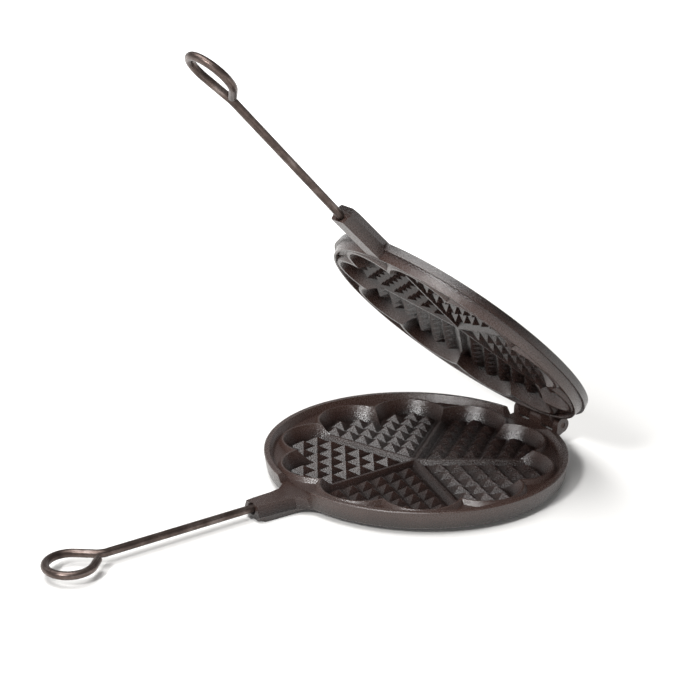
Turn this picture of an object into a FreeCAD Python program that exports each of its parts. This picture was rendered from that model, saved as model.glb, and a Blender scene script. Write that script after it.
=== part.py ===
import FreeCAD, Part
import math
import os
import Sketcher
from FreeCAD import Placement, Rotation, Vector

# Stovetop waffle iron: two round cast plates hinged on a steel pin, each with a steel rod handle.
# Millimetres. The origin is the centre of the base plate's underside, on the surface it stands on.
# +Z is up, the handles run along -X, and the hinge lies across +X with its axis along Y.
# At rest the lid stands open, as the photograph shows it.

doc = FreeCAD.newDocument("WaffleIron")
sheet = doc.addObject("Spreadsheet::Sheet", "Sizes")

# Every plate is drawn with its mating face at zero height and its cavity below, and set in place last.
# Drops are measured down from that face, rises are measured up from it.
SIZES = {
    # plates
    "rimRadius": 105.0,
    "wallFootRadius": 103.2,
    "rimInnerRadius": 101.2,
    "rimRise": 2.15,
    "baseBackDrop": 14.85,
    "baseBackRadius": 90.0,
    "wallFootDrop": 9.4,
    "wallFootInset": 0.9,
    "rimChamfer": 0.6,
    "rimSlopeRadius": 99.6,
    "rimSlopeDrop": 0.4,
    "gutterRadius": 97.8,
    "gutterDrop": 2.85,
    "lipRadius": 98.6,
    "lipInnerRadius": 97.2,
    "lipSlope": 1.2,
    "lipRootRadius": 100.2,
    "lipDepth": 6.15,
    "flangeRadius": 102.2,
    "flangeBackRadius": 101.5,
    "flangeBackDrop": 11.5,
    "lidBackDrop": 13.2,
    "lidBackRadius": 94.0,
    "seatGap": 0.3,
    "overrun": 3.0,
    # hearts
    "lobeDistance": 68.4,
    "lobeAngle": 17.55,
    "baseLobeRadius": 26.6,
    "lidLobeRadius": 25.2,
    "baseCrestWidth": 1.2,
    "lidCrestWidth": 2.3,
    "crestSkirt": 2.2,
    "wallSlope": 30.0,
    "cellDepth": 9.85,
    "middleRadius": 66.0,
    "dividerDrop": 6.65,
    "dividerWidth": 2.0,
    "dividerSlope": 45.0,
    "dividerReach": 84.0,
    # pyramids
    "pyramidPitch": 12.0,
    "pyramidBase": 12.4,
    "pyramidMargin": 2.7,
    "pyramidDrop": 5.35,
    "sink": 0.4,
    # sockets
    "baseMouthDistance": 137.0,
    "lidMouthDistance": 139.5,
    "socketRootDistance": 97.0,
    "socketHalfWidth": 7.5,
    "shoulderSpread": 2.5,
    "baseFaceDrop": 3.1,
    "baseShoulderDrop": 10.2,
    "baseFootDrop": 14.5,
    "lidFaceDrop": 0.3,
    "lidShoulderDrop": 7.8,
    "lidFootDrop": 12.4,
    "baseSocketBevel": 1.4,
    "lidSocketBevel": 2.8,
    "rootFootDrop": 9.0,
    "passageHalfWidth": 16.0,
    "passageFlare": 4.0,
    "boreDepth": 26.0,
    "mouthBoreRadius": 4.2,
    "mouthBoreDepth": 2.4,
    # handles
    "rodRadius": 2.7,
    "rodClearance": 0.05,
    "rodEndGap": 1.0,
    "baseRodDrop": 6.65,
    "lidRodDrop": 4.6,
    "baseRodLean": 0.0,
    "lidRodLean": 1.5,
    "baseLoopNeck": 248.0,
    "baseLoopReach": 22.5,
    "baseLoopRadius": 15.0,
    "baseLoopOffset": -0.8,
    "lidLoopNeck": 256.0,
    "lidLoopReach": 26.0,
    "lidLoopRadius": 15.8,
    "lidLoopOffset": -5.5,
    "neckBendRadius": 10.0,
    "wireEndGap": 0.3,
    # hinge
    "hingeReach": 5.0,
    "hingeRise": 2.1,
    "hingeMiddle": -8.0,
    "knuckleRadius": 5.5,
    "outerEarWidth": 5.0,
    "lidKnuckleWidth": 10.5,
    "middleEarWidth": 12.5,
    "knuckleGap": 0.5,
    "pinRadius": 2.0,
    "pinClearance": 0.05,
    "pinInset": 0.4,
    "hingeNotchDrop": 4.4,
    "hingeNotchStart": 97.0,
    "hingeNotchMargin": 0.3,
    "hingeNotchFlare": 8.0,
    "webReach": 6.3,
    "webGap": 0.3,
    "webLean": 21.7,
    "webInset": 0.2,
    "earRootReach": 12.0,
    "earRootDistance": 98.0,
    "earRootDrop": 9.0,
    "armRootDistance": 97.5,
    "armRootDrop": 9.0,
    "openAngle": 44.35,
}
HEARTS = 5
ROWS = 8
# A socket's sections from its mouth to its root in the wall: how far along, how wide, how much the
# foot has risen and how broad its bevels are
SOCKET_LENGTH_SHARES = (0.0, 0.15, 0.5, 0.7, 0.84, 1.0)
SOCKET_WIDTH_SHARES = {
    "base": (0.84, 0.95, 1.02, 1.2, 1.8, 3.0),
    "lid": (0.84, 0.86, 0.86, 0.86, 0.86, 0.9),
}
SOCKET_FOOT_SHARES = {
    "base": (0.3, 0.0, 0.0, 0.0, 0.2, 0.7),
    "lid": (0.15, 0.0, 0.0, 0.0, 0.0, 0.0),
}
SOCKET_BEVEL_SHARES = {
    "base": (2.5, 1.0, 1.0, 2.0, 5.0, 8.0),
    "lid": (1.0, 1.0, 1.0, 1.0, 1.0, 1.0),
}

# The hinge axis keeps its distance from the rim's edge
FOLLOWING = {"hingeDistance": "=rimRadius + hingeReach"}

cells_written = [(name, repr(value)) for name, value in SIZES.items()] + list(FOLLOWING.items())
for row, (name, content) in enumerate(cells_written, start=1):
    sheet.set("A%d" % row, name)
    sheet.set("B%d" % row, content)
    sheet.setAlias("B%d" % row, name)
doc.recompute()


def size(name):
    """The named size, read back from the sheet."""
    return float(sheet.get(name))


def bind(thing, **expressions):
    """Binds properties of a document object to sizes; a double underscore stands for a dot."""
    for prop, expression in expressions.items():
        thing.setExpression(prop.replace("__", "."), expression)
    return thing


def polygon_sketch(body, plane, name, corners):
    """A closed sketch in one of the body's origin planes, each corner bound to a pair of expressions."""
    sketch = body.newObject("Sketcher::SketchObject", name)
    origin = [item for item in body.Origin.OriginFeatures if item.Role == plane][0]
    sketch.AttachmentSupport = [(origin, "")]
    sketch.MapMode = "FlatFace"
    places = []
    for across, up in corners:
        places.append(Vector(worth(across), worth(up), 0))
    for index, start in enumerate(places):
        end = places[(index + 1) % len(places)]
        sketch.addGeometry(Part.LineSegment(start, end), False)
    for index in range(len(places)):
        following = (index + 1) % len(places)
        sketch.addConstraint(Sketcher.Constraint("Coincident", index, 2, following, 1))
    for index, (across, up) in enumerate(corners):
        for kind, expression, value in (("DistanceX", across, places[index].x), ("DistanceY", up, places[index].y)):
            number = sketch.addConstraint(Sketcher.Constraint(kind, -1, 1, index, 1, value))
            if expression != "0":
                sketch.setExpression("Constraints[%d]" % number, expression)
    return sketch


def worth(expression):
    """The value of an expression in the sheet's sizes."""
    return float(sheet.evalExpression(expression)) if expression != "0" else 0.0


def feature(name, shape):
    """A document object that holds a shape worked out from the sheet's sizes."""
    thing = doc.addObject("Part::Feature", name)
    thing.Shape = shape
    return thing


def joined(name, things):
    fuse = doc.addObject("Part::MultiFuse", name)
    fuse.Shapes = things
    return fuse


def cut(name, base, tool):
    result = doc.addObject("Part::Cut", name)
    result.Base = base
    result.Tool = tool
    return result


# The dishes: turned profiles, rim, gutter and back of each plate

def base_dish():
    body = doc.addObject("PartDesign::Body", "BaseDish")
    corners = [
        ("0", "-Sizes.baseBackDrop"),
        ("Sizes.baseBackRadius", "-Sizes.baseBackDrop"),
        ("Sizes.wallFootRadius - Sizes.wallFootInset", "-Sizes.wallFootDrop - Sizes.wallFootInset"),
        ("Sizes.wallFootRadius", "-Sizes.wallFootDrop"),
        ("Sizes.rimRadius", "Sizes.rimRise - Sizes.rimChamfer"),
        ("Sizes.rimRadius - Sizes.rimChamfer", "Sizes.rimRise"),
        ("Sizes.rimInnerRadius", "Sizes.rimRise"),
        ("Sizes.rimSlopeRadius", "-Sizes.rimSlopeDrop"),
        ("Sizes.gutterRadius", "-Sizes.gutterDrop"),
        ("0", "-Sizes.gutterDrop"),
    ]
    return turned(body, corners)


def lid_dish():
    body = doc.addObject("PartDesign::Body", "LidDish")
    corners = [
        ("0", "-Sizes.lidBackDrop"),
        ("Sizes.lidBackRadius", "-Sizes.lidBackDrop"),
        ("Sizes.flangeBackRadius", "-Sizes.flangeBackDrop"),
        ("Sizes.flangeRadius", "-Sizes.lipDepth"),
        ("Sizes.lipRootRadius", "-Sizes.lipDepth"),
        ("Sizes.lipRadius", "0"),
        ("Sizes.lipInnerRadius", "0"),
        ("Sizes.lipInnerRadius - Sizes.lipSlope", "-Sizes.gutterDrop"),
        ("0", "-Sizes.gutterDrop"),
    ]
    return turned(body, corners)


def turned(body, corners):
    sketch = polygon_sketch(body, "XZ_Plane", body.Name + "Profile", corners)
    turn = body.newObject("PartDesign::Revolution", body.Name + "Turn")
    turn.Profile = sketch
    turn.ReferenceAxis = (sketch, ["V_Axis"])
    turn.Angle = 360.0
    return body


# The heart cells: ten lobes, two to a heart, round a middle; their crests stand above the gutter

def lobes(prefix, foot_drop, foot_radius, top_radius, height):
    cones = []
    for heart in range(HEARTS):
        for side in (-1, 1):
            cone = doc.addObject("Part::Cone", "%sLobe%d" % (prefix, len(cones)))
            turn = "(180 / %d * %d + %d * Sizes.lobeAngle) * 1 deg" % (HEARTS, 2 * heart + 1, side)
            bind(cone, Radius1=foot_radius, Radius2=top_radius, Height=height,
                 Placement__Base__x="Sizes.lobeDistance * cos(180 deg + %s)" % turn,
                 Placement__Base__y="Sizes.lobeDistance * sin(180 deg + %s)" % turn,
                 Placement__Base__z="-(%s)" % foot_drop)
            cones.append(cone)
    return cones


def crests(prefix):
    foot = "Sizes.gutterDrop + Sizes.sink"
    top = "Sizes.%sLobeRadius + Sizes.%sCrestWidth" % (prefix, prefix)
    spread = "Sizes.crestSkirt / Sizes.gutterDrop"
    return lobes(prefix + "Crest", foot, "%s + (%s) * %s" % (top, foot, spread), top, foot)


def cells(prefix):
    height = "Sizes.cellDepth + Sizes.overrun"
    foot = "Sizes.%sLobeRadius - Sizes.cellDepth * tan(Sizes.wallSlope * 1 deg)" % prefix
    top = "Sizes.%sLobeRadius + Sizes.overrun * tan(Sizes.wallSlope * 1 deg)" % prefix
    cones = lobes(prefix + "Cell", "Sizes.cellDepth", foot, top, height)
    middle = doc.addObject("Part::Cylinder", prefix + "Middle")
    bind(middle, Radius="Sizes.middleRadius", Height=height, Placement__Base__z="-Sizes.cellDepth")
    return joined(prefix + "Cells", cones + [middle])


def divider_bars():
    """Five low ridges between the hearts, from the middle to where the lobes part."""
    foot = -size("cellDepth") - size("sink")
    top = -size("dividerDrop")
    half_top = size("dividerWidth") / 2
    half_foot = half_top + (top - foot) * math.tan(math.radians(size("dividerSlope")))
    section = [Vector(0, -half_foot, foot), Vector(0, half_foot, foot),
               Vector(0, half_top, top), Vector(0, -half_top, top)]
    face = Part.Face(Part.makePolygon(section + section[:1]))
    bar = face.extrude(Vector(-size("dividerReach"), 0, 0))
    bars = []
    for heart in range(HEARTS):
        turned_bar = bar.copy()
        turned_bar.rotate(Vector(0, 0, 0), Vector(0, 0, 1), 360 / HEARTS * heart)
        bars.append(turned_bar)
    return bars


def pyramid(ring, apex):
    faces = [Part.Face(Part.makePolygon(ring + ring[:1]))]
    for start, end in zip(ring, ring[1:] + ring[:1]):
        faces.append(Part.Face(Part.makePolygon([start, end, apex, start])))
    shell = Part.Shell(faces)
    shell.sewShape()
    return Part.Solid(shell)


def pyramids():
    """Four-sided points on a lattice that runs parallel to each heart's straight sides."""
    half_turn = math.radians(180 / HEARTS)
    along = Vector(math.cos(half_turn), math.sin(half_turn), 0)
    across = Vector(math.cos(half_turn), -math.sin(half_turn), 0)
    foot = -size("cellDepth") - size("sink")
    rise = size("cellDepth") - size("pyramidDrop")
    half_base = size("pyramidBase") / 2 * (rise + size("sink")) / rise
    floor_radius = size("baseLobeRadius") - size("cellDepth") * math.tan(math.radians(size("wallSlope")))
    lobe_angle = math.radians(size("lobeAngle"))
    lobe_middle = Vector(math.cos(lobe_angle), math.sin(lobe_angle), 0) * size("lobeDistance")
    points = []
    for first in range(1, ROWS):
        for second in range(1, ROWS):
            place = (along * first + across * second) * size("pyramidPitch")
            mirrored = Vector(place.x, abs(place.y), 0)
            in_lobe = (mirrored - lobe_middle).Length < floor_radius - size("pyramidMargin")
            in_middle = place.Length < size("lobeDistance") and first + second < ROWS
            if in_lobe or in_middle:
                points.append(place)
    corners = [along * half_base + across * half_base, along * half_base - across * half_base,
               -along * half_base - across * half_base, -along * half_base + across * half_base]
    solids = []
    for heart in range(HEARTS):
        turn = Rotation(Vector(0, 0, 1), 180 + 180 / HEARTS * (2 * heart + 1))
        for place in points:
            ring = [turn.multVec(place + corner) + Vector(0, 0, foot) for corner in corners]
            solids.append(pyramid(ring, turn.multVec(place) + Vector(0, 0, -size("pyramidDrop"))))
    return solids


def relief(prefix):
    """Dividers and pyramids on one thin disc, which lies inside the plate's floor."""
    disc = Part.makeCylinder(size("baseBackRadius"), size("sink") * 1.5,
                             Vector(0, 0, -size("cellDepth") - size("sink") * 2))
    return feature(prefix + "Relief", disc.fuse(divider_bars() + pyramids()))


# The handle sockets: tapered bosses, flat on the mating side, with bevelled feet; the base's root flares

def socket_section(side, distance, half_width, foot_drop, bevel):
    face = -size(side + "FaceDrop")
    shoulder = -min(size(side + "ShoulderDrop"), foot_drop - size(side + "SocketBevel") / 2)
    spread = half_width + size("shoulderSpread")
    foot = spread - bevel
    corners = [(-half_width, face), (half_width, face), (spread, shoulder),
               (foot, -foot_drop), (-foot, -foot_drop), (-spread, shoulder)]
    ring = [Vector(-distance, across, up) for across, up in corners]
    return Part.makePolygon(ring + ring[:1])


def socket(side):
    mouth = size(side + "MouthDistance")
    root = size("socketRootDistance")
    shares = (SOCKET_LENGTH_SHARES, SOCKET_WIDTH_SHARES[side], SOCKET_FOOT_SHARES[side], SOCKET_BEVEL_SHARES[side])
    sections = []
    for along, wide, risen, bevelled in zip(*shares):
        foot_drop = size(side + "FootDrop") + (size("rootFootDrop") - size(side + "FootDrop")) * risen
        distance = mouth + (root - mouth) * along
        half_width = size("socketHalfWidth") * wide
        sections.append(socket_section(side, distance, half_width, foot_drop, size(side + "SocketBevel") * bevelled))
    return feature(side + "Socket", Part.makeLoft(sections, True, True))


def socket_bore(side):
    """The rod's bore and its countersink, along the rod's own lean."""
    bore = doc.addObject("Part::Cylinder", side + "RodBore")
    bind(bore, Radius="Sizes.rodRadius + Sizes.rodClearance", Height="Sizes.boreDepth + Sizes.overrun")
    mouth = doc.addObject("Part::Cone", side + "MouthBore")
    bind(mouth, Radius1="Sizes.mouthBoreRadius", Radius2="Sizes.rodRadius + Sizes.rodClearance",
         Height="Sizes.mouthBoreDepth")
    way = Rotation(Vector(0, 1, 0), 90 - size(side + "RodLean"))
    start = Vector(-size(side + "MouthDistance"), 0, -size(side + "RodDrop"))
    bore.Placement = Placement(start - way.multVec(Vector(0, 0, size("overrun"))), way)
    mouth.Placement = Placement(start, way)
    return [bore, mouth]


def socket_passage(side):
    """Room over the socket's flat, where the other plate's socket root passes through the rim."""
    foot = -size(side + "FaceDrop")
    top = size("rimRise") + size("overrun")
    half_foot = size("passageHalfWidth")
    half_top = half_foot + size("passageFlare")
    start = size("gutterRadius")
    ring = [Vector(-start, -half_foot, foot), Vector(-start, half_foot, foot),
            Vector(-start, half_top, top), Vector(-start, -half_top, top)]
    length = size(side + "MouthDistance") - start
    return feature(side + "Passage", Part.Face(Part.makePolygon(ring + ring[:1])).extrude(Vector(-length, 0, 0)))


# The hinge: three ears on the base and two knuckles on the lid, side by side on one pin

def knuckle_spans():
    """Where each ear and knuckle starts and ends across the hinge, from the near side to the far side."""
    widths = ["outerEarWidth", "lidKnuckleWidth", "middleEarWidth", "lidKnuckleWidth", "outerEarWidth"]
    total = sum(size(width) for width in widths) + 4 * size("knuckleGap")
    start = size("hingeMiddle") - total / 2
    spans = []
    for width in widths:
        spans.append((start, start + size(width)))
        start = start + size(width) + size("knuckleGap")
    return spans


def knuckle(corners, axis_height, span):
    """A round boss on the hinge axis, joined to the plate by an arm of the given corners."""
    low, high = span
    boss = Part.makeCylinder(size("knuckleRadius"), high - low,
                             Vector(size("hingeDistance"), low, axis_height), Vector(0, 1, 0))
    ring = [Vector(along, low, up) for along, up in corners]
    arm = Part.Face(Part.makePolygon(ring + ring[:1])).extrude(Vector(0, high - low, 0))
    return boss.fuse(arm)


def ear_root():
    """Where the ears and their web start: in the wall, and at least their own reach from the axis."""
    return min(size("earRootDistance"), size("hingeDistance") - size("earRootReach"))


def base_ears():
    axis = size("seatGap") / 2 + size("hingeRise")
    centre = size("hingeDistance")
    radius = size("knuckleRadius")
    lean = math.radians(60)
    corners = [
        (ear_root(), -size("earRootDrop")),
        (ear_root(), -size("hingeNotchDrop")),
        (centre - radius, -size("hingeNotchDrop")),
        (centre - radius, axis),
        (centre + radius * math.cos(lean), axis - radius * math.sin(lean)),
    ]
    spans = knuckle_spans()
    ears = [knuckle(corners, axis, spans[index]) for index in (0, 2, 4)]
    return feature("BaseEars", hinge_web(axis).fuse(ears))


def hinge_web(axis):
    """The metal that joins the ears' feet, just clear of the closed lid's arms and knuckles."""
    centre = size("hingeDistance")
    radius = size("knuckleRadius")
    lean = math.radians(60)
    web_lean = math.radians(size("webLean"))
    root = Vector(ear_root(), 0, -size("earRootDrop"))
    foot_end = Vector(centre + radius * math.cos(lean), 0, axis - radius * math.sin(lean))
    foot_slope = (foot_end.z - root.z) / (foot_end.x - root.x)
    top_slope = -math.tan(web_lean)
    # The top's height over the hinge axis's own place, on a line that clears the knuckles
    top_middle = axis - (radius + size("webGap")) / math.cos(web_lean)
    foot_middle = root.z + (centre - root.x) * foot_slope
    tip = centre + (foot_middle - top_middle) / (top_slope - foot_slope) - size("webInset")
    crest = centre - size("webReach")
    corners = [
        (root.x, root.z),
        (root.x, -size("gutterDrop")),
        (crest, top_middle + (crest - centre) * top_slope),
        (tip, top_middle + (tip - centre) * top_slope),
        (tip, foot_middle + (tip - centre) * foot_slope),
    ]
    low = knuckle_spans()[0][0]
    high = knuckle_spans()[-1][1]
    ring = [Vector(along, low, up) for along, up in corners]
    return Part.Face(Part.makePolygon(ring + ring[:1])).extrude(Vector(0, high - low, 0))


def lid_knuckles():
    axis = size("seatGap") / 2 - size("hingeRise")
    centre = size("hingeDistance")
    radius = size("knuckleRadius")
    lean = math.radians(60)
    corners = [
        (size("armRootDistance"), -size("gutterDrop") / 2),
        (centre, axis + radius),
        (centre + radius * math.cos(lean), axis - radius * math.sin(lean)),
        (size("armRootDistance"), -size("armRootDrop")),
    ]
    spans = [(-high, -low) for low, high in knuckle_spans()]
    knuckles = [knuckle(corners, axis, spans[index]) for index in (1, 3)]
    return feature("LidKnuckles", Part.makeCompound(knuckles))


def hinge_notch():
    """The base rim is cut down across the hinge, with sloping ends."""
    spans = knuckle_spans()
    low = spans[0][0] - size("hingeNotchMargin")
    high = spans[-1][1] + size("hingeNotchMargin")
    foot = -size("hingeNotchDrop")
    top = size("rimRise") + size("overrun")
    flare = size("hingeNotchFlare")
    start = size("hingeNotchStart")
    ring = [Vector(start, low, foot), Vector(start, high, foot),
            Vector(start, high + flare, top), Vector(start, low - flare, top)]
    return feature("HingeNotch", Part.Face(Part.makePolygon(ring + ring[:1])).extrude(
        Vector(size("rimRadius") + size("overrun") - start, 0, 0)))


def pin_bore(prefix, axis_expression):
    bore = doc.addObject("Part::Cylinder", prefix + "PinBore")
    bind(bore, Radius="Sizes.pinRadius + Sizes.pinClearance", Height="2 * Sizes.rimRadius",
         Placement__Base__x="Sizes.hingeDistance", Placement__Base__y="Sizes.rimRadius",
         Placement__Base__z=axis_expression)
    bore.Placement.Rotation = Rotation(Vector(1, 0, 0), 90)
    return bore


# The handles: straight rods with a teardrop loop bent at the end

def handle_path(side):
    """The wire's centre line, from its end in the socket out to the loop and back to the neck."""
    mouth = size(side + "MouthDistance")
    inner = size("boreDepth") - size("rodEndGap")
    neck = size(side + "LoopNeck") - mouth
    reach = size(side + "LoopReach")
    offset = size(side + "LoopOffset")
    radius = size(side + "LoopRadius")
    away = math.hypot(reach, offset)
    half = math.asin(radius / away)
    turn = math.atan2(offset, reach)
    out_lean = half + turn
    back_lean = half - turn
    leg = math.sqrt(away ** 2 - radius ** 2)
    bend = size("neckBendRadius") * math.tan(out_lean / 2)
    wire = size("rodRadius")
    end = (wire * (1 + math.cos(back_lean)) + size("wireEndGap")) / math.sin(back_lean)
    corner = Vector(-neck, 0, 0)
    out_way = Vector(-math.cos(out_lean), math.sin(out_lean), 0)
    back_way = Vector(-math.cos(back_lean), -math.sin(back_lean), 0)
    bend_start = corner + Vector(bend, 0, 0)
    bend_middle = bend_start + Vector(0, size("neckBendRadius"), 0)
    bend_top = Vector(-math.sin(out_lean / 2), -math.cos(out_lean / 2), 0) * size("neckBendRadius")
    loop_middle = corner + Vector(-reach, offset, 0)
    loop_tip = loop_middle + Vector(-reach, offset, 0) * (radius / away)
    edges = [
        Part.LineSegment(Vector(inner, 0, 0), bend_start),
        Part.Arc(bend_start, bend_middle + bend_top, corner + out_way * bend),
        Part.LineSegment(corner + out_way * bend, corner + out_way * leg),
        Part.Arc(corner + out_way * leg, loop_tip, corner + back_way * leg),
        Part.LineSegment(corner + back_way * leg, corner + back_way * end),
    ]
    return Part.Wire([edge.toShape() for edge in edges])


def handle(side):
    name = side + "_handle"
    path = feature(name + "Path", handle_path(side))
    section = doc.addObject("Part::Circle", name + "Section")
    bind(section, Radius="Sizes.rodRadius", Placement__Base__x="Sizes.boreDepth - Sizes.rodEndGap")
    section.Placement.Rotation = Rotation(Vector(0, 1, 0), 90)
    sweep = doc.addObject("Part::Sweep", name)
    sweep.Sections = [section]
    sweep.Spine = (path, [])
    sweep.Solid = True
    sweep.Frenet = False
    return sweep


# The castings

def casting(side, dish, hinge_metal, axis_expression):
    name = side + "_plate"
    raised = joined(name + "Raised", [dish, socket(side), hinge_metal] + crests(side))
    hollow = cut(name + "Hollow", raised, cells(side))
    filled = joined(name + "Filled", [hollow, relief(side)])
    tools = socket_bore(side) + [socket_passage(side), pin_bore(side, axis_expression)]
    return cut(name, filled, joined(name + "Cuts", tools))


base = casting("base", cut("NotchedDish", base_dish(), hinge_notch()), base_ears(),
               "Sizes.seatGap / 2 + Sizes.hingeRise")
lid = casting("lid", lid_dish(), lid_knuckles(), "Sizes.seatGap / 2 - Sizes.hingeRise")
base_rod = handle("base")
lid_rod = handle("lid")

pin = doc.addObject("Part::Cylinder", "hinge_pin")
pin_low = knuckle_spans()[0][0] + size("pinInset")
pin_high = knuckle_spans()[-1][1] - size("pinInset")
bind(pin, Radius="Sizes.pinRadius")
pin.Height = pin_high - pin_low
doc.recompute()

# Each piece is set in place: the base face up, the lid turned over onto it and then swung open

face_height = size("baseBackDrop")
base_place = Placement(Vector(0, 0, face_height), Rotation())
closed_place = Placement(Vector(0, 0, face_height + size("seatGap")), Rotation(Vector(1, 0, 0), 180))
hinge_height = face_height + size("seatGap") / 2 + size("hingeRise")
hinge_axis = Vector(size("hingeDistance"), 0, hinge_height)
swing = Rotation(Vector(0, 1, 0), size("openAngle"))
open_swing = Placement(hinge_axis - swing.multVec(hinge_axis), swing)
pin_place = Placement(Vector(size("hingeDistance"), pin_high, hinge_height), Rotation(Vector(1, 0, 0), 90))


def rod_place(side):
    """Where the rod leaves its socket's mouth, and its lean away from the plate's mating face."""
    start = Vector(-size(side + "MouthDistance"), 0, -size(side + "RodDrop"))
    return Placement(start, Rotation(Vector(0, 1, 0), -size(side + "RodLean")))


# The lid's loop is turned over with it, so it is drawn the other way round to end on the same side
turned_over = Placement(Vector(0, 0, 0), Rotation(Vector(1, 0, 0), 180))
places = {
    base: base_place,
    lid: open_swing.multiply(closed_place),
    base_rod: base_place.multiply(rod_place("base")),
    lid_rod: open_swing.multiply(closed_place).multiply(rod_place("lid")).multiply(turned_over),
    pin: pin_place,
}
for thing, place in places.items():
    thing.Label = thing.Name
    thing.Placement = place
doc.recompute()

for thing in doc.Objects:
    if "Invalid" in thing.State or "Error" in thing.State:
        raise RuntimeError("%s did not recompute: %s" % (thing.Name, thing.State))
os.makedirs("parts", exist_ok=True)
for thing in places:
    if thing.Shape.isNull() or not thing.Shape.isValid():
        raise RuntimeError("%s has no valid shape" % thing.Label)
    print(thing.Label, len(thing.Shape.Solids), round(thing.Shape.Volume), thing.Shape.BoundBox)
    thing.Shape.exportStep("parts/%s.step" % thing.Label)
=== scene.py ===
import math
import bmesh
import bpy
import numpy as np
from mathutils import Matrix, Vector


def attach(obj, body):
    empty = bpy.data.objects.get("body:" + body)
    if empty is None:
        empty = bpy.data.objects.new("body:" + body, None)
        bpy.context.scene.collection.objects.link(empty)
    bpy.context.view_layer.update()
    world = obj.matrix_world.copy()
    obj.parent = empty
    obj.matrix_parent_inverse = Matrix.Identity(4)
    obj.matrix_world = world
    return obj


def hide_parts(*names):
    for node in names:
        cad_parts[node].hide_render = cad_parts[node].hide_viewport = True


# Stovetop waffle iron: two cast plates on one hinge pin, each with a bent steel rod handle.
# Metres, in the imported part's own frame: the floor is at zero height and the handles run along -X.

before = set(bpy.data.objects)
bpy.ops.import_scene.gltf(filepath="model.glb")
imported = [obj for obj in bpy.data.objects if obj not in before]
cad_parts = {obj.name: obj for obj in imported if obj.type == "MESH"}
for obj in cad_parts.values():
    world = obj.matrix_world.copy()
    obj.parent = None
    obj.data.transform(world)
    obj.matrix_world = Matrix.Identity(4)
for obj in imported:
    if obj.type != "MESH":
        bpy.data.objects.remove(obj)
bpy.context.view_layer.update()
print("frame: %d nodes" % len(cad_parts))

mm = 0.001


# Materials

def linear(hexColour):
    # sRGB to linear: c / 12.92 below 0.04045, ((c + 0.055) / 1.055) ^ 2.4 above it
    parts = [int(hexColour[i:i + 2], 16) / 255 for i in (1, 3, 5)]
    return [c / 12.92 if c <= 0.04045 else ((c + 0.055) / 1.055) ** 2.4 for c in parts] + [1.0]


def addNode(tree, kind, settings=None, **links):
    # one node: settings are its properties; links are its inputs, by name or as i0, i1, i2 by number,
    # each a value or another node's output
    node = tree.nodes.new("ShaderNode" + kind)
    for name, value in (settings or {}).items():
        setattr(node, name, value)
    for name, value in links.items():
        numbered = name[0] == "i" and name[1:].isdigit()
        socket = node.inputs[int(name[1:]) if numbered else name.replace("_", " ")]
        if isinstance(value, bpy.types.NodeSocket):
            tree.links.new(value, socket)
        else:
            socket.default_value = value
    return node


def newMaterial(name):
    material = bpy.data.materials.new(name)
    material.use_nodes = True
    material.node_tree.nodes.clear()
    return material, material.node_tree


def colourRamp(tree, factor, stops):
    # straight lines between the stops, each a position and a colour
    ramp = addNode(tree, "ValToRGB", i0=factor)
    while len(ramp.color_ramp.elements) < len(stops):
        ramp.color_ramp.elements.new(0.5)      # anywhere, as each is moved to its stop next
    for element, (position, colour) in zip(ramp.color_ramp.elements, stops):
        element.position = position
        element.color = linear(colour)
    return ramp.outputs["Color"]


def noiseField(tree, place, scale, detail):
    # random values about 0.5, smooth over 1 / scale; detail: octaves, and each one's share of the last
    octaves, share = detail
    noise = addNode(tree, "TexNoise", Vector=place, Scale=scale, Detail=octaves, Roughness=share)
    return noise.outputs["Fac"]


def ranged(tree, value, source, target, shape="LINEAR"):
    # value carried from the source range onto the target range, held at both ends
    mapped = addNode(tree, "MapRange", {"interpolation_type": shape}, Value=value, From_Min=source[0],
                     From_Max=source[1], To_Min=target[0], To_Max=target[1])
    return mapped.outputs["Result"]


def computed(tree, operation, *values, clamp=False):
    # one sum on numbers or on other nodes' outputs
    numbered = {"i%d" % index: value for index, value in enumerate(values)}
    return addNode(tree, "Math", {"operation": operation, "use_clamp": clamp}, **numbered).outputs["Value"]


# Placement of the open lid and of the rods, the same moves as in the part's source
plates = {
    "faceHeight": 14.85 * mm,
    "seatGap": 0.3 * mm,
    "hinge": Vector((110 * mm, 0, 17.1 * mm)),
    "openAngle": math.radians(44.35),
}


def turn(angle, axis):
    return Matrix.Rotation(angle, 4, axis)


basePlace = Matrix.Translation((0, 0, plates["faceHeight"]))
closedPlace = Matrix.Translation((0, 0, plates["faceHeight"] + plates["seatGap"])) @ turn(math.pi, "X")
toHinge = Matrix.Translation(plates["hinge"])
lidPlace = toHinge @ turn(plates["openAngle"], "Y") @ toHinge.inverted() @ closedPlace

iron = {
    "stops": [
        (0.0, "#170f0d"),             # painted shade on the cell floors, darkest at the bottom of the cells
        (0.5, "#2a1c18"),             # baked oil film
        (1.0, "#392a25"),             # worn iron on crests and rims
    ],
    "shadeAndWearHeights": (-9.85 * mm, -1 * mm),    # from the painted shade of the cell floors up to the real wear just under the mating face
    "backCosines": (0.1, 0.7),        # facing away from the cells: from here it counts as the back
    "backFilm": 0.6,                  # the back's least place along the stops
    "mottle": 22 * mm,                # cloudy patches where oil has baked on
    "mottleDetail": (5, 0.62),
    "mottleWear": 0.9,
    "grain": 0.75 * mm,               # sand grain and its clusters on a cast face
    "grainDetail": (4, 0.6),
    "grainWear": 0.5,
    "grainRange": (0.3, 0.7),         # where most of the grain's values lie
    "grainBump": 0.24 * mm,
    "grainStrength": 0.9,
    "pitSpacing": 1.5 * mm,
    "pitBump": 0.1 * mm,
    "pitStrength": 0.5,
    "roughness": (0.16, 0.38),        # in the grain's hollows and on its tops
    "filmIndex": 1.6,                 # the hardened oil's, above the plain 1.5
}


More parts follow.
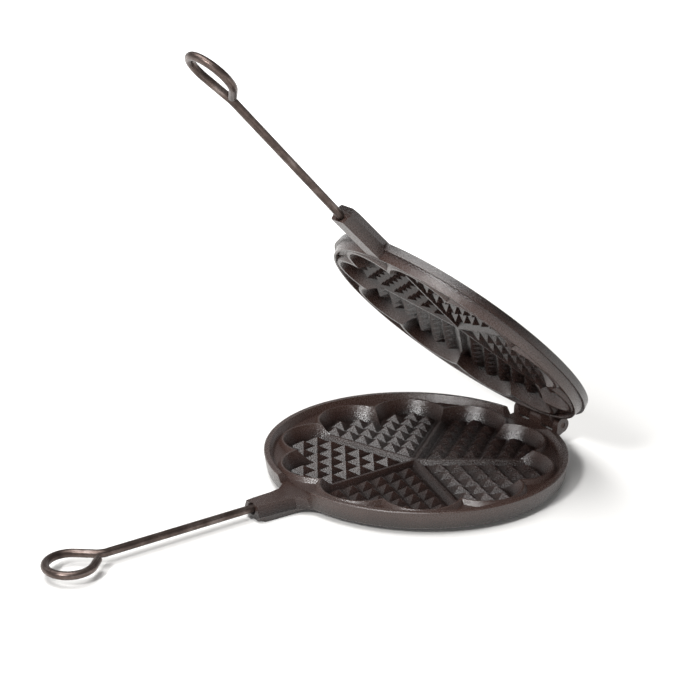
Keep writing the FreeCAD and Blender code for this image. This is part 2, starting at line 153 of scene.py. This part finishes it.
def seasonedCastIron(name, place):
    # Sand-cast grey iron, seasoned with baked oil. It gives the eye a pebbled grain, a brown-black
    # semi-gloss film, greyer metal where the crests and rims have been rubbed, and shade painted into the
    # cells.
    # place along the stops = height over the cell floors (painted shade low, real wear high) + clouds +
    # grain
    material, tree = newMaterial(name)
    outputs = addNode(tree, "TexCoord").outputs
    coordinates = outputs["Object"]
    inverse = place.inverted()
    ownFrame = addNode(tree, "Mapping", {"vector_type": "POINT"}, Vector=coordinates,
                       Location=inverse.to_translation(), Rotation=inverse.to_euler("XYZ"))
    height = addNode(tree, "SeparateXYZ", Vector=ownFrame.outputs["Vector"]).outputs["Z"]
    # painted shade: the lower a point lies towards the cell floors, the darker; up on the crests and rims it
    # is real wear
    risen = ranged(tree, height, iron["shadeAndWearHeights"], (0, 1))
    # the plate's back holds the film but not the cells' painted shade; backness is the cosine to the back's
    # own direction
    backWay = place.to_3x3() @ Vector((0, 0, -1))
    backness = addNode(tree, "VectorMath", {"operation": "DOT_PRODUCT"},
                       i0=outputs["Normal"], i1=backWay).outputs["Value"]
    backFilm = ranged(tree, backness, iron["backCosines"], (0, iron["backFilm"]))
    risen = computed(tree, "MAXIMUM", risen, backFilm)
    clouds = noiseField(tree, coordinates, 1 / iron["mottle"], iron["mottleDetail"])
    grain = noiseField(tree, coordinates, 1 / iron["grain"], iron["grainDetail"])
    pits = addNode(tree, "TexVoronoi", {"feature": "F1"}, Vector=coordinates,
                   Scale=1 / iron["pitSpacing"]).outputs["Distance"]
    cloudWear = computed(tree, "MULTIPLY_ADD", clouds, iron["mottleWear"], -iron["mottleWear"] / 2)
    grainWear = computed(tree, "MULTIPLY_ADD", grain, iron["grainWear"], -iron["grainWear"] / 2, clamp=True)
    # the depth's painted shade and wear, with the clouds of baked oil
    toneSum = computed(tree, "ADD", risen, cloudWear, clamp=True)
    speckled = computed(tree, "ADD", toneSum, grainWear, clamp=True)
    colour = colourRamp(tree, speckled, iron["stops"])
    rough = ranged(tree, grain, iron["grainRange"], iron["roughness"])
    pebbles = addNode(tree, "Bump", Strength=iron["grainStrength"], Distance=iron["grainBump"],
                      Height=grain).outputs["Normal"]
    bump = addNode(tree, "Bump", Strength=iron["pitStrength"], Distance=iron["pitBump"],
                   Height=pits, Normal=pebbles).outputs["Normal"]
    shader = addNode(tree, "BsdfPrincipled", Base_Color=colour, IOR=iron["filmIndex"], Roughness=rough,
                     Normal=bump)
    addNode(tree, "OutputMaterial", Surface=shader.outputs["BSDF"])
    return material


rods = {
    "stops": [
        (0.25, "#2f2826"),            # scale from the heat
        (0.55, "#564a45"),            # browned steel
        (0.8, "#857b77"),             # rubbed bright
    ],
    "patch": 14 * mm,
    "patchDetail": (4, 0.6),
    "streakAlong": 18 * mm,
    "streakAround": 0.5 * mm,
    "streakDetail": (3, 0.6),
    "streakWear": 0.55,
    "streakBack": -0.25,              # brings the streaks' middle near nought
    "streakBump": 0.05 * mm,
    "streakStrength": 0.25,
    "wearRange": (0.3, 0.8),
    "roughness": (0.44, 0.26),        # scaled and rubbed
    "metallic": 0.85,                 # thin scale still covers part of the metal
}


def burnishedRod(name):
    # Drawn mild steel rod, browned by heat and rubbed bright by hands. It gives the eye a dull metal with
    # fine streaks along the wire and brighter patches.
    # place along the stops = patches over the object + streaks in (length, girth) of the wire
    material, tree = newMaterial(name)
    coordinates = addNode(tree, "TexCoord").outputs["Object"]
    alongWire = addNode(tree, "UVMap").outputs["UV"]
    stretched = addNode(tree, "Mapping", {"vector_type": "POINT"}, Vector=alongWire,
                        Scale=(1 / rods["streakAlong"], 1 / rods["streakAround"], 1))
    streaks = noiseField(tree, stretched.outputs["Vector"], 1, rods["streakDetail"])
    patches = noiseField(tree, coordinates, 1 / rods["patch"], rods["patchDetail"])
    streakWear = computed(tree, "MULTIPLY_ADD", streaks, rods["streakWear"], rods["streakBack"])
    toneSum = computed(tree, "ADD", patches, streakWear, clamp=True)
    colour = colourRamp(tree, toneSum, rods["stops"])
    rough = ranged(tree, toneSum, rods["wearRange"], rods["roughness"])
    bump = addNode(tree, "Bump", Strength=rods["streakStrength"], Distance=rods["streakBump"],
                   Height=streaks).outputs["Normal"]
    shader = addNode(tree, "BsdfPrincipled", Base_Color=colour, Metallic=rods["metallic"],
                     Roughness=rough, Normal=bump)
    addNode(tree, "OutputMaterial", Surface=shader.outputs["BSDF"])
    return material


# Meshes

def smoothFaces(mesh):
    mesh.polygons.foreach_set("use_smooth", np.ones(len(mesh.polygons), bool))


def meshObject(name, points, faces, material):
    mesh = bpy.data.meshes.new(name)
    mesh.from_pydata(points.tolist(), [], faces)
    smoothFaces(mesh)
    mesh.materials.append(material)
    mesh.update()
    piece = bpy.data.objects.new(name, mesh)
    bpy.context.scene.collection.objects.link(piece)
    return piece


castings = {
    "mergeWithin": 0.002 * mm,
    "flatWithin": math.radians(0.6),
    "edgeRound": 0.45 * mm,           # the radius that moulding sand leaves on an edge
    "edgeAngle": math.radians(24),
    "segments": 2,
}


def roundedCasting(node, body, material):
    # a merged copy of the solid's own mesh, whose edges are then rounded as the mould leaves them
    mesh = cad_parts[node].data.copy()
    work = bmesh.new()
    work.from_mesh(mesh)
    bmesh.ops.remove_doubles(work, verts=work.verts, dist=castings["mergeWithin"])
    bmesh.ops.dissolve_limit(work, angle_limit=castings["flatWithin"], verts=work.verts, edges=work.edges)
    work.to_mesh(mesh)
    work.free()
    mesh.materials.clear()
    mesh.materials.append(material)
    smoothFaces(mesh)
    piece = bpy.data.objects.new(node.replace("_plate", "Casting"), mesh)
    bpy.context.scene.collection.objects.link(piece)
    bevel = piece.modifiers.new("edgeRound", "BEVEL")
    bevel.width = castings["edgeRound"]
    bevel.segments = castings["segments"]
    bevel.limit_method = "ANGLE"
    bevel.angle_limit = castings["edgeAngle"]
    bevel.use_clamp_overlap = True
    bevel.miter_outer = "MITER_ARC"
    weighted = piece.modifiers.new("flatFaces", "WEIGHTED_NORMAL")
    weighted.keep_sharp = True
    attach(piece, body)
    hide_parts(node)


wire = {
    "radius": 2.7 * mm,
    "endRound": 0.7 * mm,             # the cut end's rounded edge
    "endRings": 4,
    "around": 28,
    "step": 1.4 * mm,
    "bendStep": 0.84 * mm,
    "neckBend": 10 * mm,
    "inSocket": 25 * mm,
    "endGap": 0.3 * mm,
    # millimetres, and the lean in degrees; the mouth and the neck lie this far from the plate's centre
    "base": {"mouth": 137, "drop": 6.65, "lean": 0.0, "neck": 248,
             "reach": 22.5, "radius": 15.0, "offset": -0.8},
    "lid": {"mouth": 139.5, "drop": 4.6, "lean": 1.5, "neck": 256,
            "reach": 26.0, "radius": 15.8, "offset": -5.5},
}


def runAndArc(stretches):
    # stretches: (start, heading, length, curvature); a straight run has curvature 0.
    # centre(s) = start + s * way, or start + (sin(k s) / k) * way + ((1 - cos(k s)) / k) * side on an arc
    centres, ways = [], []
    for start, heading, length, curvature in stretches:
        step = wire["step"] if curvature == 0 else wire["bendStep"]
        count = max(2, int(round(length / step)))
        s = np.linspace(0, length, count, endpoint=False)
        way = np.array([math.cos(heading), math.sin(heading)])
        side = np.array([-way[1], way[0]])
        if curvature == 0:
            centre = start + s[:, None] * way
            angle = np.full(count, heading)
        else:
            centre = start + (np.sin(curvature * s) / curvature)[:, None] * way \
                + ((1 - np.cos(curvature * s)) / curvature)[:, None] * side
            angle = heading + curvature * s
        centres.append(centre)
        ways.append(np.stack([np.cos(angle), np.sin(angle)], 1))
    return np.concatenate(centres), np.concatenate(ways)


def rodCentreLine(rod):
    # from the socket out to the neck, a small bend, a leg, round the loop's arc and back along the other
    # leg; the legs touch the loop's circle, so each lies asin(radius / distance) from the line to its centre
    neck = (rod["neck"] - rod["mouth"]) * mm
    reach, offset, radius = rod["reach"] * mm, rod["offset"] * mm, rod["radius"] * mm
    away = math.hypot(reach, offset)
    half = math.asin(radius / away)
    lean = math.atan2(offset, reach)
    outLean, backLean = half + lean, half - lean
    leg = math.sqrt(away ** 2 - radius ** 2)
    bend = wire["neckBend"] * math.tan(outLean / 2)
    end = (wire["radius"] * (1 + math.cos(backLean)) + wire["endGap"]) / math.sin(backLean)
    corner = np.array([-neck, 0.0])
    outWay = np.array([-math.cos(outLean), math.sin(outLean)])
    backWay = np.array([-math.cos(backLean), -math.sin(backLean)])
    outHeading = math.atan2(outWay[1], outWay[0])
    arcTurn = outLean + backLean + math.pi
    centres, ways = runAndArc([
        (np.array([wire["inSocket"], 0.0]), math.pi, wire["inSocket"] + neck - bend, 0),
        (corner + [bend, 0.0], math.pi, wire["neckBend"] * outLean, -1 / wire["neckBend"]),
        (corner + outWay * bend, outHeading, leg - bend, 0),
        (corner + outWay * leg, outHeading, radius * arcTurn, 1 / radius),
        (corner + backWay * leg, outHeading + arcTurn, leg - end, 0),
    ])
    last = corner + backWay * end
    return np.vstack([centres, last]), np.vstack([ways, ways[-1]])


def carriedTube(name, centres, ways, place, material):
    # surface(s, a) = centre(s) + r(s) * (cos a * up + sin a * side(s));
    # r falls as a quarter circle at both ends
    gaps = np.linalg.norm(np.diff(centres, axis=0), axis=1)
    s = np.concatenate([[0], np.cumsum(gaps)])
    r0, e = wire["radius"], wire["endRound"]
    quarter = np.linspace(0, math.pi / 2, wire["endRings"], endpoint=False)
    lead = e * (1 - np.cos(quarter))
    stations = np.concatenate([lead, s[(s > e) & (s < s[-1] - e)], (s[-1] - lead)[::-1]])
    inEnd = np.clip(np.minimum(stations, s[-1] - stations) / e, 0, 1)
    radius = r0 - e + e * np.sqrt(1 - (1 - inEnd) ** 2)
    mid = np.stack([np.interp(stations, s, centres[:, 0]), np.interp(stations, s, centres[:, 1])], 1)
    heading = np.interp(stations, s, np.unwrap(np.arctan2(ways[:, 1], ways[:, 0])))
    side = np.stack([-np.sin(heading), np.cos(heading), np.zeros(len(stations))], 1)
    n, m = len(stations), wire["around"]
    around = np.arange(m)
    a = around * 2 * math.pi / m
    ring = np.cos(a)[None, :, None] * np.array([0, 0, 1.0]) + np.sin(a)[None, :, None] * side[:, None, :]
    points = np.concatenate([mid, np.zeros((n, 1))], 1)[:, None, :] + radius[:, None, None] * ring
    points = np.concatenate([points.reshape(-1, 3), [[*mid[0], 0]], [[*mid[-1], 0]]])
    points = points @ np.array(place.to_3x3()).T + np.array(place.to_translation())
    # a band of quads between the rings, and a fan of triangles to the centre of each end
    i, j = np.meshgrid(np.arange(n - 1), around, indexing="ij")
    k = (j + 1) % m
    quads = np.stack([i * m + j, i * m + k, (i + 1) * m + k, (i + 1) * m + j], -1).reshape(-1, 4)
    first = np.stack([np.full(m, n * m), (around + 1) % m, around], 1)
    last = np.stack([np.full(m, n * m + 1), (n - 1) * m + around, (n - 1) * m + (around + 1) % m], 1)
    piece = meshObject(name, points, quads.tolist() + first.tolist() + last.tolist(), material)
    # the streaks' own coordinates: metres along the wire and round it
    uv = piece.data.uv_layers.new(name="alongRod")
    column = np.stack([j, j + 1, j + 1, j], -1).reshape(-1)
    row = np.stack([i, i, i + 1, i + 1], -1).reshape(-1)
    flat = np.zeros((len(piece.data.loops), 2))
    flat[:len(row)] = np.stack([stations[row], column * (2 * math.pi * r0 / m)], 1)
    uv.data.foreach_set("uv", flat.reshape(-1))
    return piece


def handle(side, platePlace, after, material):
    rod = wire[side]
    mouth = Matrix.Translation((-rod["mouth"] * mm, 0, -rod["drop"] * mm))
    mouth = mouth @ turn(-math.radians(rod["lean"]), "Y")
    centres, ways = rodCentreLine(rod)
    piece = carriedTube(side + "Rod", centres, ways, platePlace @ mouth @ after, material)
    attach(piece, side)
    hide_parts(side + "_handle")


baseIron = seasonedCastIron("seasoned sand-cast iron, base", basePlace)
lidIron = seasonedCastIron("seasoned sand-cast iron, lid", lidPlace)
roundedCasting("base_plate", "base", baseIron)
roundedCasting("lid_plate", "lid", lidIron)
print("castings made")

rodSteel = burnishedRod("burnished mild steel rod")
handle("base", basePlace, Matrix.Identity(4), rodSteel)
handle("lid", lidPlace, turn(math.pi, "X"), rodSteel)
pinSteel = burnishedRod("hinge pin steel")
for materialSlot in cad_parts["hinge_pin"].material_slots:
    materialSlot.material = pinSteel
print("rods and pin made")


# Floor, light and camera

view = {
    "target": Vector((-66.36, 48.14, 87.48)) * mm,
    "azimuth": math.radians(-35.54),
    "elevation": math.radians(20.15),
    "distance": 1154.38 * mm,
    "focalPixels": 1705.12,
    "framePixels": 700,
    "centre": (297.1, 351.2),
    "filmWidth": 36,
    "clip": (0.05, 50),
}
studio = {
    "floorHalf": 9.0,
    "floorColour": "#e9e8e6",
    "floorRoughness": 0.9,
    "floorGlow": (0.03, 0.95),        # near the iron and far from it
    "glowReach": (0.26, 0.8),
    "sweep": (1.0, 0.2),              # the world's strength low down and overhead
    "sweepSines": (0.05, 0.35),       # sines of the elevations where it starts and ends to darken
    "white": [1, 1, 1, 1],
}
lamps = {
    "aim": (0, 0, 0.05),
    "softbox": {"place": (-0.572, 0.098, 1.81), "size": (2.0, 0.9), "power": 39},
    "keyLamp": {"place": (-1.52, -0.55, 1.22), "size": (0.3, 0.3), "power": 28},
}


def aimed(place, target):
    # axes of something that looks along its -Z: back = place - target, right = up x back
    back = (place - target).normalized()
    right = Vector((0, 0, 1)).cross(back).normalized()
    up = back.cross(right)
    return Matrix.Translation(place) @ Matrix((right, up, back)).transposed().to_4x4()


def softLamp(name):
    lamp = bpy.data.lights.new(name, "AREA")
    lamp.shape = "RECTANGLE"
    lamp.size, lamp.size_y = lamps[name]["size"]
    lamp.energy = lamps[name]["power"]
    holder = bpy.data.objects.new(name, lamp)
    holder.matrix_world = aimed(Vector(lamps[name]["place"]), Vector(lamps["aim"]))
    bpy.context.scene.collection.objects.link(holder)


def makeFloor():
    # pale matt paper that glows a little, more with distance from the iron, in what the camera and
    # reflections see: it burns out to the photograph's white and lights nothing by itself
    half = studio["floorHalf"]
    corners = np.array([[-half, -half, 0], [half, -half, 0], [half, half, 0], [-half, half, 0]])
    material, tree = newMaterial("pale matt floor")
    rays = addNode(tree, "LightPath").outputs
    seen = computed(tree, "ADD", rays["Is Camera Ray"], rays["Is Glossy Ray"], clamp=True)
    seen = computed(tree, "ADD", seen, rays["Is Transmission Ray"], clamp=True)
    place = addNode(tree, "TexCoord").outputs["Object"]
    away = addNode(tree, "VectorMath", {"operation": "LENGTH"}, i0=place).outputs["Value"]
    level = ranged(tree, away, studio["glowReach"], studio["floorGlow"], "SMOOTHSTEP")
    glow = computed(tree, "MULTIPLY", seen, level)
    shader = addNode(tree, "BsdfPrincipled", Base_Color=linear(studio["floorColour"]),
                     Roughness=studio["floorRoughness"], Specular_IOR_Level=0,
                     Emission_Color=studio["white"], Emission_Strength=glow)
    addNode(tree, "OutputMaterial", Surface=shader.outputs["BSDF"])
    meshObject("floor", corners, [(0, 1, 2, 3)], material)


def makeWorld():
    # a white sweep all round that darkens overhead, as under a studio's dark ceiling
    world = bpy.data.worlds.new("studio")
    bpy.context.scene.world = world
    world.use_nodes = True
    tree = world.node_tree
    tree.nodes.clear()
    direction = addNode(tree, "TexCoord").outputs["Generated"]
    height = addNode(tree, "SeparateXYZ", Vector=direction).outputs["Z"]
    strength = ranged(tree, height, studio["sweepSines"], studio["sweep"], "SMOOTHSTEP")
    light = addNode(tree, "Background", Color=studio["white"], Strength=strength)
    addNode(tree, "OutputWorld", Surface=light.outputs["Background"])


def makeCamera():
    # back = (sin a cos e, -cos a cos e, sin e); lens / film width = focal length / frame, both in pixels
    a, e = view["azimuth"], view["elevation"]
    back = Vector((math.sin(a) * math.cos(e), -math.cos(a) * math.cos(e), math.sin(e)))
    pixels = view["framePixels"]
    camera = bpy.data.cameras.new("camera")
    camera.sensor_width = view["filmWidth"]
    camera.lens = view["focalPixels"] / pixels * view["filmWidth"]
    camera.shift_x = (pixels / 2 - view["centre"][0]) / pixels
    camera.shift_y = (view["centre"][1] - pixels / 2) / pixels
    camera.clip_start, camera.clip_end = view["clip"]
    holder = bpy.data.objects.new("camera", camera)
    holder.matrix_world = aimed(view["target"] + back * view["distance"], view["target"])
    bpy.context.scene.collection.objects.link(holder)
    bpy.context.scene.camera = holder


makeFloor()
makeWorld()
makeCamera()
softLamp("softbox")
softLamp("keyLamp")
bpy.context.scene.view_settings.view_transform = "Standard"
print("studio made")
